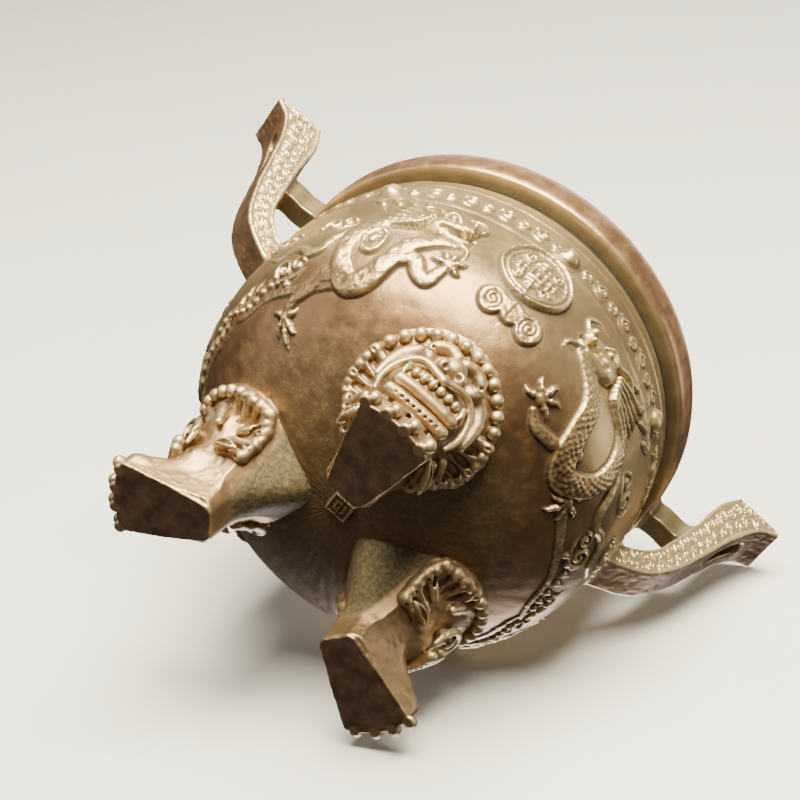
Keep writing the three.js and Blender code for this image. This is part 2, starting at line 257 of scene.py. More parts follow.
class Relief:
    """Heights over the bowl's outer wall, raised by ridges and slabs drawn on it."""

    def __init__(self, turn=0.0):
        angles = np.arange(COLUMNS) / COLUMNS * 2 * np.pi - np.pi / 2
        r, z = PROFILE[:RIM_ROW].T
        self.angles = angles
        self.points = np.stack([np.outer(r, np.cos(angles)), np.outer(r, np.sin(angles)),
                                np.outer(z, np.ones(COLUMNS))], 2)
        self.height = np.zeros((RIM_ROW, COLUMNS))
        self.turn = turn

    def window(self, places, reach):
        """Rows and columns that lie within reach of the places."""
        low, high = places.min(0) - reach, places.max(0) + reach
        column = self.points[:, :, :2]
        rows = np.nonzero((PROFILE[:RIM_ROW, 1] > low[2]) & (PROFILE[:RIM_ROW, 1] < high[2]))[0]
        middle = math.atan2(places[:, 1].mean(), places[:, 0].mean())
        turns = np.angle(np.exp(1j * (np.arctan2(places[:, 1], places[:, 0]) - middle)))
        radius = max(4.0, np.hypot(places[:, 0], places[:, 1]).min())
        span = reach / radius
        offset = np.angle(np.exp(1j * (self.angles - middle)))
        columns = np.nonzero((offset > turns.min() - span) & (offset < turns.max() + span))[0]
        return np.ix_(rows, columns)

    def nearest(self, places, reach):
        """For each point of the window: its distance to the path, the nearest sample, and the
        distance across the path, positive on its left."""
        where = self.window(places, reach)
        points = self.points[where]
        flat = points.reshape(-1, 3)
        squares = ((flat[:, None, :] - places[None, :, :3]) ** 2).sum(2)
        index = squares.argmin(1)
        distance = np.sqrt(squares[np.arange(len(flat)), index])
        along = np.gradient(places[:, :3], axis=0)[index]
        outward = flat * np.array([1, 1, 0]) + np.array([0, 0, 1]) * (flat[:, 2:] - BELLY_Z)
        side = np.sign(np.sum(np.cross(outward, along) * (flat - places[index, :3]), 1))
        shape = points.shape[:2]
        return where, distance.reshape(shape), index.reshape(shape), (distance * side).reshape(shape)

    def raise_to(self, where, height):
        self.height[where] = np.maximum(self.height[where], height)

    def ridge(self, path, width, height, flat=0.5):
        """A rounded ridge along a path of (degrees, z, share): share scales width and height.
        flat 0.5 is a half round and smaller values give a flatter top."""
        places = self.placed(path)
        where, distance, index, _ = self.nearest(places, width * places[:, 3].max() + 0.3)
        share = places[index, 3]
        inside = np.clip(1 - (distance / (width * share + 1e-6)) ** 2, 0, 1)
        self.raise_to(where, height * np.minimum(1, share) * inside ** flat)

    def placed(self, path):
        """The path as samples on the wall, about 0.3 mm apart. Its share is 1 if none is given."""
        path = np.array(path, float)
        path[:, 0] += self.turn
        if path.shape[1] == 2:
            path = np.hstack([path, np.ones((len(path), 1))])
        stretch = np.array([DEGREE, 1, 1])
        return on_wall(spline(path * stretch, 0.3) / stretch)

    def scaled_body(self, path, width, height, scale=0.95, depth=0.16):
        """A dragon's body: a thick ridge covered in overlapping scales, with a belly edge."""
        places = self.placed(path)
        steps = np.linalg.norm(np.diff(places[:, :3], axis=0), axis=1)
        length = np.concatenate([[0], np.cumsum(steps)])
        where, distance, index, across = self.nearest(places, width * places[:, 3].max() + 0.3)
        share = places[index, 3]
        half = width * share + 1e-6
        inside = np.clip(1 - (distance / half) ** 2, 0, 1)
        body = height * np.minimum(1, share) * inside ** 0.3
        along = length[index]
        pattern = np.zeros_like(body)
        for row in (0, 1):
            a = (along / scale + 0.5 * row) % 1 - 0.5
            b = (across / (scale * 0.95) + 0.5 * row) % 1 - 0.5
            dome = np.clip(1 - (a * a + b * b) * 4.2, 0, 1)
            pattern = np.maximum(pattern, dome ** 0.6 * (0.8 + 0.4 * a))
        rim = np.clip((distance / half - 0.72) / 0.12, 0, 1)
        self.raise_to(where, body - depth * (1 - pattern) * inside ** 0.5 * (1 - rim))

    def spot(self, degrees, z, radius, height, flat=0.5):
        """A round boss."""
        self.ridge([(degrees, z), (degrees + 0.05, z)], radius, height, flat)

    def groove(self, path, width, depth):
        """A cut line, which lowers what is there."""
        places = self.placed(path)
        where, distance, _, _ = self.nearest(places, width * 2.5)
        self.height[where] -= depth * np.exp(-(distance / width) ** 2)

    def claw(self, degrees, z, toward):
        """A dragon's foot: five toes fanned round a palm, each with a knuckle and a hooked nail."""
        self.spot(degrees, z, 1.25, 0.95)
        middle, stretch = np.array([degrees, z]), np.array([1 / DEGREE, 1.0])
        for fan in np.linspace(-105, 105, 5):
            angle = math.radians(toward + fan)
            hook = angle + 0.5
            toe = 2.6 * np.array([math.cos(angle), math.sin(angle)])
            nail = toe + 0.9 * np.array([math.cos(hook), math.sin(hook)])
            knuckle, tip, end = (middle + place * stretch for place in (toe * 0.62, toe, nail))
            self.ridge([(*middle, 1.0), (*knuckle, 0.95), (*tip, 0.85), (*end, 0.3)], 0.62, 0.85)
            self.spot(*knuckle, 0.7, 1.0)

    def spiral(self, degrees, z, radius, turns, start, width, height, sense):
        """A tube that winds inward, from `start` degrees, with sense 1 or -1."""
        t = np.linspace(0, 1, 14)
        angle = math.radians(start) + sense * t * turns * 2 * math.pi
        reach = radius * (1 - 0.82 * t)
        path = np.stack([degrees + reach * np.cos(angle) / DEGREE, z + reach * np.sin(angle)], 1)
        self.ridge(path, width, height)

    def stamp(self, degrees, z, reach, shape):
        """Raises shape(u, v), where u and v are millimetres right of and above the place."""
        place = on_wall([(degrees + self.turn, z)])
        where = self.window(place, reach)
        points = self.points[where]
        angle = np.arctan2(points[..., 1], points[..., 0]) + np.pi / 2
        offset = np.angle(np.exp(1j * (angle - np.radians(degrees + self.turn))))
        self.raise_to(where, shape(offset * BELLY_R, points[..., 2] - z))


def step_up(inside, soft=0.22):
    """0 outside an outline and 1 inside it; `inside` is the distance from its edge."""
    t = np.clip(inside / soft, 0, 1)
    return t * t * (3 - 2 * t)


def medallion(u, v):
    """A double ring round an invented fret: no writing."""
    rho = np.hypot(u, v)
    disc = 0.75 * step_up(MEDALLION_R - rho, 0.3)
    outer_ring = step_up(0.42 - np.abs(rho - MEDALLION_R + 0.5), 0.25)
    inner_ring = step_up(0.26 - np.abs(rho - MEDALLION_R + 1.7), 0.2)
    square = np.maximum(np.abs(u), np.abs(v))
    fret = step_up(0.3 - np.abs(square - 1.35))
    fret = np.maximum(fret, step_up(0.5 - rho))
    for turn in range(4):
        a, b = [(u, v), (v, -u), (-u, -v), (-v, u)][turn]
        fret = np.maximum(fret, step_up(np.minimum(0.3 - np.abs(b - 2.7), 1.7 - np.abs(a))))
        fret = np.maximum(fret, step_up(np.minimum(0.3 - np.abs(b - 3.8), 1.1 - np.abs(a))))
        fret = np.maximum(fret, step_up(np.minimum(0.28 - np.abs(a), 1.3 - np.abs(b - 3.2))))
        corner = np.hypot(a - 3.1, b - 3.1)
        fret = np.maximum(fret, step_up(0.25 - np.abs(corner - 0.95)))
        fret = np.maximum(fret, step_up(0.35 - corner))
    return disc + 0.55 * outer_ring + 0.4 * inner_ring + 0.5 * fret * (rho < MEDALLION_R - 2)


def cloud(u, v):
    """A flat ruyi cloud of three lobes with a spiral in each outer one."""
    lobes = np.maximum.reduce([
        2.9 - np.hypot(u + 4.2, v - 0.1), 2.5 - np.hypot(u, v - 0.3), 2.9 - np.hypot(u - 4.4, v),
        np.minimum(1.9 - np.abs(v - 0.4), 4.4 - np.abs(u)),
    ])
    slab = 0.8 * step_up(lobes, 0.5)
    for side, middle in ((-1, -4.2), (1, 4.4)):
        a, b = (u - middle) * side, v
        angle = np.arctan2(b, a) / (2 * np.pi)
        arm = ((np.hypot(a, b) - 0.9 * angle) % 0.9) - 0.45
        curl = (np.hypot(a, b) < 2.0) * step_up(0.2 - np.abs(arm), 0.2)
        slab = slab - 0.35 * curl * step_up(lobes, 0.5)
    return slab


def dragon(relief, scales, arm, arm_claw, hind, hind_claw):
    """A coiled dragon whose head turns to the medallion. The size and depth of its scales and
    its limbs are given, so the two differ."""
    body = [(-21, 45.2, .5), (-26, 43.4, .7), (-30.5, 40.6, .85), (-33.5, 36.6, .95),
            (-37.5, 32.9, 1.1), (-42.5, 32.2, 1.12), (-46.3, 36, .95), (-46.2, 40.5, .9),
            (-43.5, 44.3, .8), (-39.5, 46.8, .7), (-34, 48.6, .6), (-29, 50, .55)]
    tail = [(-44, 32, .8), (-52, 31.6, .7), (-60, 31.7, .6), (-70, 32.2, .5), (-80, 31.8, .45),
            (-88, 33.6, .35), (-95, 36.6, .2)]
    relief.scaled_body(tail, 1.5, 0.9)
    relief.scaled_body(body, 2.35, 1.45, *scales)
    for spine in range(11):
        degrees = -63 - spine * 3
        z = 33.1 + 0.9 * math.sin(spine * 0.9) + 0.11 * spine
        relief.ridge([(degrees, z, 1), (degrees - 1.2, z + 1.5, .3)], 0.75, 0.75)
    for limb, claw in ((arm, arm_claw), (hind, hind_claw)):
        relief.ridge(limb, 1.6, 1.0, 0.32)
        relief.claw(*claw)
    ribbon = [(-43, 43.6, .8), (-47.5, 43.3, 1), (-51, 41, 1), (-54, 38.7, 1), (-57.5, 38.2, 1),
              (-60.5, 39.9, .9), (-64, 40.5, .8), (-68.5, 39.6, .6), (-73, 41.5, .3)]
    relief.ridge(ribbon, 1.0, 0.9, 0.4)
    # the head: skull, brow, snout with a curled nose, open jaw, eye, horn and whiskers
    relief.spot(-26.5, 48.6, 3.3, 1.7)
    relief.ridge([(-27, 48.8, 1), (-23.5, 49.6, .85), (-20.4, 49.9, .7)], 2.0, 1.75)
    relief.ridge([(-26, 46.6, 1), (-22, 46.3, .8), (-19.2, 46.9, .5)], 1.3, 1.3)
    relief.spot(-19.7, 50.6, 0.95, 2.1)
    relief.spot(-20.6, 48.7, 0.8, 1.9)
    relief.groove([(-26.5, 47.6), (-22, 48), (-18.6, 48.2)], 0.42, 0.8)
    relief.spot(-25.2, 50.6, 0.95, 2.35)
    relief.ridge([(-23.6, 51.4, .6), (-25.4, 52.2, 1), (-28, 51.2, .8)], 0.6, 2.1)
    relief.ridge([(-28, 51.8, .9), (-32, 53.6, .8), (-36, 53.2, .6), (-39.5, 54.8, .3)], 0.85, 1.7)
    relief.ridge([(-19.3, 50.4, .8), (-17.4, 52.6, .7), (-19.4, 54.8, .5), (-23, 55, .3)], 0.5, 0.9)
    relief.ridge([(-20, 46, .8), (-17.3, 44.2, .7), (-17.2, 41.9, .3)], 0.5, 0.9)
    for strand in range(6):
        degrees, z = -30.2 - 0.5 * strand, 50.6 - 0.75 * strand
        lift = 5.6 - 1.5 * strand
        path = [(degrees, z, 1), (degrees - 4, z + 0.35 * lift, .9),
                (degrees - 8, z + 0.55 * lift, .8), (degrees - 11, z + lift, .25)]
        relief.ridge(path, 0.62, 1.5)
    for flame in range(4):
        degrees = -33 - 4.6 * flame
        path = [(degrees, 54.6, .9), (degrees - 2.6, 56.4, .8), (degrees - 1.4, 58.3, .25)]
        relief.ridge(path, 0.7, 0.8)
    for degrees, z in ((-64.5, 36), (-56, 47), (-72, 46)):
        relief.spiral(degrees, z, 2.2, 1.2, 200, 0.5, 0.7, -1)
        relief.spiral(degrees + 4.4, z + 0.4, 1.5, 1.1, 20, 0.45, 0.6, 1)
        relief.ridge([(degrees - 2, z - 1.8, .9), (degrees + 3, z - 2, .9),
                      (degrees + 7, z - 0.6, .3)], 0.6, 0.6)


class MirroredRelief(Relief):
    """The same wall, drawn on as if in a mirror and a little wider, for the right dragon."""

    def __init__(self, relief):
        self.__dict__ = dict(relief.__dict__)
        self.height = relief.height

    def flipped(self, path):
        path = np.array(path, float)
        path[:, 0] = 17 - (path[:, 0] + 19) * 1.2
        return path

    def ridge(self, path, *sizes):
        Relief.ridge(self, self.flipped(path), *sizes)

    def scaled_body(self, path, *sizes):
        Relief.scaled_body(self, self.flipped(path), *sizes)

    def groove(self, path, *sizes):
        Relief.groove(self, self.flipped(path), *sizes)


def scroll_band(relief):
    """Pairs of little scrolls round the wall, just under the shoulder."""
    motifs = 36
    for motif in range(motifs):
        degrees = (motif + 0.5) * 360 / motifs
        relief.spiral(degrees - 2.1, 62.2, 1.45, 1.15, 90, 0.36, 0.5, 1)
        relief.spiral(degrees + 2.1, 61.6, 1.45, 1.15, 270, 0.36, 0.5, 1)
        relief.spot(degrees - 4.6, 63.3, 0.4, 0.4)
        relief.ridge([(degrees - 1.6, 59.9, .7), (degrees - 3.6, 60.2, 1), (degrees - 5, 61.5, .6)],
                     0.34, 0.42)


def carve(relief):
    """All the relief of the bowl: the same on its front and its back."""
    z = relief.points[..., 2]
    relief.height += 0.22 * np.exp(-((z - 66.8) / 0.4) ** 2) + 0.16 * np.exp(-((z - 57.9) / 0.4) ** 2)
    scroll_band(relief)
    for turn in (0, 180):
        relief.turn = turn
        relief.stamp(-1, MEDALLION_Z, MEDALLION_R + 1, medallion)
        relief.stamp(0.4, 38.5, 8.5, cloud)
        dragon(relief, (0.95, 0.16),
               arm=[(-31.5, 37.4, .9), (-27.5, 38.2, 1), (-24.6, 36, .9), (-21.5, 35.4, .85),
                    (-19.6, 38.4, .6)],
               arm_claw=(-19.3, 39.9, 75),
               hind=[(-44, 33, 1.2), (-50, 33.4, 1.3), (-54.5, 31.6, 1), (-59, 30.4, .75),
                     (-61.8, 29.2, .6)],
               hind_claw=(-62.6, 28.3, 262))
        # the left dragon's haunch, curled inside the loop of its body
        relief.ridge([(-40, 44), (-42.6, 42), (-42.2, 39), (-39.6, 38), (-37.4, 39.6), (-37.6, 42.4),
                      (-40, 44)], 0.65, 0.9)
        relief.spot(-40, 41, 2.6, 0.6, 0.3)
        for degrees, height in ((-41.3, 40), (-39.6, 41), (-38.9, 42.6)):
            relief.groove([(degrees, height), (degrees + 0.9, height + 0.2)], 0.4, 0.6)
        mirror = MirroredRelief(relief)
        dragon(mirror, (1.5, 0.5),
               arm=[(-38, 35, .9), (-34, 32.4, .8), (-28, 30.9, .75), (-24.4, 31.6, .5)],
               arm_claw=(-23.1, 33.3, 85),
               hind=[(-43, 45, .9), (-46.5, 41, 1), (-46.8, 37, .9), (-48, 34.6, .6)],
               hind_claw=(-48.4, 32.4, 262))
        for degrees in (-49, 1, 48):
            relief.spot(degrees, 60.8, BOSS_R, 2.0)
            relief.spot(degrees, 60.8, BOSS_R + 0.7, 0.5)
    # the casting is worn: relief varies in height and its skin is lumpy
    shape = relief.height.shape
    wear = 1 + 0.16 * lumps(shape, 14, 1) + 0.08 * lumps(shape, 5, 2)
    raised = np.clip(relief.height / 0.4, 0, 1)
    relief.height = relief.height * wear + raised * 0.07 * lumps(shape, 2.2, 3) + 0.04 * lumps(shape, 9, 4)
    # the square mark in the middle of the underside, filled with a plain fret
    x, y = relief.points[..., 0], relief.points[..., 1]
    under = z < BELLY_Z - 20
    square = np.maximum(np.abs(x), np.abs(y))
    mark = 0.35 * step_up(2.4 - square, 0.25) + 0.25 * step_up(0.3 - np.abs(square - 2.0))
    mark += 0.25 * step_up(0.25 - np.abs(square - 0.9)) + 0.25 * step_up(
        np.minimum(0.22 - np.abs(x), 1.9 - np.abs(y)))
    relief.height += mark * under


def build_bowl():
    relief = Relief()
    carve(relief)
    angles = relief.angles
    r, z = PROFILE.T
    along = np.gradient(PROFILE, axis=0)
    along /= np.linalg.norm(along, axis=1)[:, None]
    normal_r, normal_z = along[:, 1], -along[:, 0]
    height = np.zeros((len(PROFILE), COLUMNS))
    height[:RIM_ROW] = relief.height
    radius = r[:, None] + height * normal_r[:, None]
    vertices = np.stack([radius * np.cos(angles), radius * np.sin(angles),
                         z[:, None] + height * normal_z[:, None]], 2).reshape(-1, 3)
    rows, columns = np.meshgrid(np.arange(len(PROFILE) - 1), np.arange(COLUMNS), indexing="ij")
    a = rows * COLUMNS + columns
    b = rows * COLUMNS + (columns + 1) % COLUMNS
    quads = np.stack([a, b, b + COLUMNS, a + COLUMNS], 2).reshape(-1, 4)
    # close the middle of the underside and the middle of the floor inside
    ring = np.arange(COLUMNS)
    last = (len(PROFILE) - 1) * COLUMNS
    poles = np.array([[0, 0, vertices[0, 2]], [0, 0, vertices[last, 2]]])
    pole = len(vertices)
    triangles = np.vstack([
        np.stack([np.roll(ring, -1), ring, np.full(COLUMNS, pole)], 1),
        np.stack([last + ring, last + np.roll(ring, -1), np.full(COLUMNS, pole + 1)], 1),
    ])
    bowl = make_mesh("bronze_bowl", np.vstack([vertices, poles]), quads, triangles)
    set_wear_masks(bowl.data, 8, 90)
    spread = np.concatenate([np.repeat(z, COLUMNS), poles[:, 2]])
    row = np.concatenate([np.repeat(np.arange(len(PROFILE)), COLUMNS), [0, len(PROFILE) - 1]])
    set_mask(bowl.data, "inner", np.clip((row - RIM_ROW - 16) / 12, 0, 1))
    outside = row < RIM_ROW + 16
    set_mask(bowl.data, "copper", outside * np.clip((spread - 72.4) / 0.8, 0, 1))
    # painted light: from 27 mm up the belly is painted paler, in place of the light falling on its upper
    # half, and below that it stays darker as if in shade
    set_mask(bowl.data, "gilt_and_painted_light", 0.75 * outside * np.clip((spread - 27) / 16, 0, 1))
    set_mask(bowl.data, "crust", 0.55 * outside * np.clip((33 - spread) / 9, 0, 1))
    neck = np.clip((spread - 69.6) / 0.7, 0, 1) * np.clip((72.9 - spread) / 0.5, 0, 1)
    set_mask(bowl.data, "groove", outside * neck)
    return bowl


# ---- clay: solids drawn as fields on a grid ---------------------------------------------------
def smooth_min(a, b, blend):
    h = np.clip(blend - np.abs(a - b), 0, None) / blend
    return np.minimum(a, b) - h * h * blend / 4


def smooth_max(a, b, blend):
    return -smooth_min(-a, -b, blend)


class Clay:
    """A field on a grid, negative inside the solid. Shapes are joined on or cut away smoothly."""

    def __init__(self, low, high, cell):
        self.cell = cell
        self.axes = [np.arange(a, b + cell, cell) for a, b in zip(low, high)]
        self.field = np.full([len(axis) for axis in self.axes], 5.0)

    def grids(self, low=None, high=None):
        """The slices of a box and its coordinates, ready to broadcast."""
        spans = []
        for i, axis in enumerate(self.axes):
            start = 0 if low is None else np.searchsorted(axis, low[i])
            end = len(axis) if high is None else np.searchsorted(axis, high[i])
            spans.append(slice(start, max(start + 1, end)))
        x, y, z = [axis[span] for axis, span in zip(self.axes, spans)]
        return tuple(spans), x[:, None, None], y[None, :, None], z[None, None, :]

    def join(self, spans, distance, blend):
        self.field[spans] = smooth_min(self.field[spans], distance, blend)

    def cut(self, spans, distance, blend):
        self.field[spans] = smooth_max(self.field[spans], -distance, blend)

    def ball(self, centre, radii, blend, cut=False):
        """An ellipsoid, joined on or cut away."""
        centre, radii = np.array(centre, float), np.array(radii, float) * np.ones(3)
        reach = radii + blend + 3 * self.cell
        spans, x, y, z = self.grids(centre - reach, centre + reach)
        distance = ellipsoid_distance(x - centre[0], y - centre[1], z - centre[2], radii)
        (self.cut if cut else self.join)(spans, distance, blend)

    def rope(self, points, radius, blend, cut=False):
        """A tube along (x, y, z) or (x, y, z, share of the radius), joined on or cut away."""
        points = np.asarray(points, float)
        if points.shape[1] == 3:
            points = np.hstack([points, np.ones((len(points), 1))])
        path = spline(points, 0.5)
        reach = radius * path[:, 3].max() + blend + 3 * self.cell
        spans, x, y, z = self.grids(path[:, :3].min(0) - reach, path[:, :3].max(0) + reach)
        best = None
        for a, b in zip(path[:-1], path[1:]):
            along = b[:3] - a[:3]
            square = max(along @ along, 1e-9)
            t = ((x - a[0]) * along[0] + (y - a[1]) * along[1] + (z - a[2]) * along[2]) / square
            t = np.clip(t, 0, 1)
            distance = np.sqrt((x - a[0] - t * along[0]) ** 2 + (y - a[1] - t * along[1]) ** 2
                               + (z - a[2] - t * along[2]) ** 2) - radius * (a[3] + t * (b[3] - a[3]))
            best = distance if best is None else np.minimum(best, distance)
        (self.cut if cut else self.join)(spans, best, blend)

    def roughen(self, amount, size, seed):
        """Pushes the surface in and out, with lumps about `size` millimetres across."""
        self.field += amount * lumps(self.field.shape, size / self.cell, seed)

    def mesh(self, name, turn):
        """The field's surface as an object, turned about the bowl's axis by `turn` degrees."""
        for axis in range(3):  # the outermost layer stays empty, so the surface is closed
            for end in (0, -1):
                np.moveaxis(self.field, axis, 0)[end] = 1.0
        vertices, quads = surface_of(self.field)
        vertices = vertices * self.cell + np.array([axis[0] for axis in self.axes])
        angle = math.radians(turn)
        x = vertices[:, 0] * math.cos(angle) - vertices[:, 1] * math.sin(angle)
        y = vertices[:, 0] * math.sin(angle) + vertices[:, 1] * math.cos(angle)
        return make_mesh(name, np.stack([x, y, vertices[:, 2]], 1), quads)


def surface_of(field):
    """Vertices (in cells) and quads where the field crosses zero: one vertex in each mixed cell,
    at the mean of the crossings on its edges."""
    inside = field < 0
    cells = tuple(n - 1 for n in field.shape)
    total = np.zeros(cells + (3,))
    count = np.zeros(cells)
    crossings = []
    for axis in range(3):
        low = [slice(None)] * 3
        high = [slice(None)] * 3
        low[axis], high[axis] = slice(None, -1), slice(1, None)
        a, b = field[tuple(low)], field[tuple(high)]
        crossed = inside[tuple(low)] != inside[tuple(high)]
        share = np.where(crossed, a / np.where(crossed, a - b, 1), 0)
        crossings.append((crossed, inside[tuple(low)]))
        others = [i for i in range(3) if i != axis]
        for first in (0, 1):
            for second in (0, 1):
                window = [slice(None)] * 3
                for other, offset in zip(others, (first, second)):
                    window[other] = slice(offset, offset + cells[other])
                mask = crossed[tuple(window)]
                total[..., axis] += share[tuple(window)] * mask
                total[..., others[0]] += first * mask
                total[..., others[1]] += second * mask
                count += mask
    mixed = count > 0
    number = np.full(cells, -1)
    number[mixed] = np.arange(mixed.sum())
    corner = np.stack(np.nonzero(mixed), 1)
    vertices = corner + total[mixed] / count[mixed][:, None]
    quads = []
    for axis, (crossed, low_inside) in enumerate(crossings):
        others = [(axis + 1) % 3, (axis + 2) % 3]
        place = np.stack(np.nonzero(crossed), 1)
        flip = low_inside[crossed]
        corners = []
        for first, second in ((1, 1), (0, 1), (0, 0), (1, 0)):
            cell = place.copy()
            cell[:, others[0]] -= first
            cell[:, others[1]] -= second
            corners.append(number[tuple(cell.T)])
        quad = np.stack(corners, 1)
        quads.append(np.where(flip[:, None], quad, quad[:, ::-1]))
    return vertices, np.vstack(quads)


# ---- legs: x is the distance from the bowl's axis, y runs across, z is up ----------------------
# angle of the paw, turn of the head, how far the face is moved up and inward, and the mane inward
LEGS = {"leg_front": (-90, 0, 0, 0, 0), "leg_right": (30, -6, 1.5, 3.5, 2),
        "leg_left": (150, 3, -1, 4, 3)}
TOES = (-6, -2, 2, 6)
CLEFTS = (-4, 0, 4)
PAD_R, PAD_SHIFT = 36.7, 0.8  # the pads under the toes, and how far they lie to one side
MANE_MIDDLE, MANE_REACH, MANE_HALF = 23.2, 12.1, 12.9
MANE_BEADS, BEAD_TURN = 12, 11.6  # beads over the face, and the angle from one to the next
LEG_CELL = 0.2
# one side's crest, as (x, y, z): it climbs the back of the shank and flares into the mane's rim
CREST = [(17.5, 4.7, 0), (17.8, 5.0, 5), (18.6, 5.7, 8), (19.0, 7.0, 11), (18.8, 8.6, 14.5),
         (18.6, 11.0, 18.5), (20.4, 12.4, 22.3), (25.9, 12.4, 25.0)]
UPPER_LOCKS, LOCK_START = 4, 76  # locks that follow the beads round the mane's rim
LOWER_LOCKS = [((18.8, 10.0, 17.0), (23.8, 8.8, 16.4)), ((18.8, 8.5, 14.2), (23.8, 7.9, 14.0)),
               ((19.0, 7.2, 11.6), (23.4, 6.9, 11.6))]  # tip and root of those below them


def mane_point(turn, out, share=1.0, inward=0.0):
    """A point of the mane's rim, or `share` of the way to it: turn 0 degrees is its top."""
    angle = math.radians(turn)
    x = MANE_MIDDLE - inward + share * MANE_REACH * math.cos(angle)
    y = share * MANE_HALF * math.sin(angle)
    flat = math.hypot(x, y) / BELLY_R
    z = BELLY_Z - BELLY_DROP * math.sqrt(1 - flat * flat)
    normal = np.array([x / BELLY_R ** 2, y / BELLY_R ** 2, (z - BELLY_Z) / BELLY_DROP ** 2])
    return np.array([x, y, z]) + normal / np.linalg.norm(normal) * out


def along(path, share):
    """The point at `share` of a path."""
    return np.array([np.interp(share * (len(path) - 1), np.arange(len(path)), axis) for axis in path.T])


def leg_clay(turn, back, mane_back):
    """The paw and the shank. The shank's top is turned with the head."""
    clay = Clay((6, -18.4, -0.6), (42, 18.4, 33), LEG_CELL)
    spans, x, y, z = clay.grids()
    side = np.abs(y)
    # paw: a rounded wedge that widens to the toes
    half = eased(x, [(16.5, 2.4), (18, 3.5), (22, 4.5), (27, 5.7), (33, 6.9), (36.5, 7.2), (38, 6.6)])
    top = eased(x, [(28, 9.4), (30.5, 8.2), (33.6, 6.6), (36.5, 5.2), (39, 4.2)]) - 0.02 * side ** 2
    front = 36.7 - 0.03 * side ** 2
    slab = smooth_max(side - half, z - top, 2.0)
    slab = smooth_max(slab, np.maximum(x - front, 17.2 - x), 0.9)
    clay.join(spans, smooth_max(slab, -z, 0.3), 0.2)
    # shank: narrow in front and widest at its crests, from where its back slopes to the belly
    angle = np.radians(turn) * np.clip((z - 5) / 8, 0, 1)
    x, y = x * np.cos(angle) + y * np.sin(angle), y * np.cos(angle) - x * np.sin(angle)
    ridge = spline(CREST, 0.3)
    crest_x, crest_half = (np.interp(z, ridge[:, 2], ridge[:, i]) for i in (0, 1))
    crest_x = crest_x - mane_back * np.clip((z - 7) / 9, 0, 1)
    front_half = eased(z, [(0, 4.9), (6, 5.2), (9, 5.3), (13, 5.8), (17, 6.8), (21, 8.4), (26, 9.6)])
    share = np.clip((28 - x) / (28 - crest_x), 0, 1)
    half = front_half + (crest_half - front_half) * share ** 1.5
    half = np.where(x < crest_x, crest_half - (crest_x - x), half)
    back_plane = eased(z, [(0, 17.3), (4, 17.0), (7, 15.8), (10, 14.0), (13, 12.2), (16, 10.4),
                           (18.5, 9.2), (22, 8)])
    back_plane = back_plane - mane_back * np.clip((z - 9) / 9, 0, 1)
    front = eased(z, [(5, 31.0), (8.5, 29.9), (11, 29.4), (14, 29.6), (20, 30.2), (26, 30)])
    front = front - back * np.clip((z - 4) / 5, 0, 1)
    column = smooth_max(np.abs(y) - half, x - front, 3.0)
    column = np.maximum(smooth_max(column, back_plane + 0.025 * y * y - x, 1.6), 1.0 - z)
    clay.join(spans, column * 0.8, 1.5)
    # toes: knuckles with clefts between them, a round claw each and a flat pad beside it
    for across in TOES:
        set_back = 0.03 * across ** 2
        clay.ball((34.6 - set_back, across * 0.93, 3.4), (2.6, 1.75, 2.0), 0.5)
        clay.ball((37.5 - set_back, across, 1.7), (1.25, 1.2, 1.3), 0.25)
        clay.ball((PAD_R - set_back, across - PAD_SHIFT, 0.5), (1.25, 1.15, 0.75), 0.12)
    for across in CLEFTS:
        clay.rope([(31.4, across * 0.85, 7.6), (34.6, across * 0.95, 5.3), (37.2, across, 3.4),
                   (38.6, across, 0.2)], 0.5, 0.35, cut=True)
    return clay


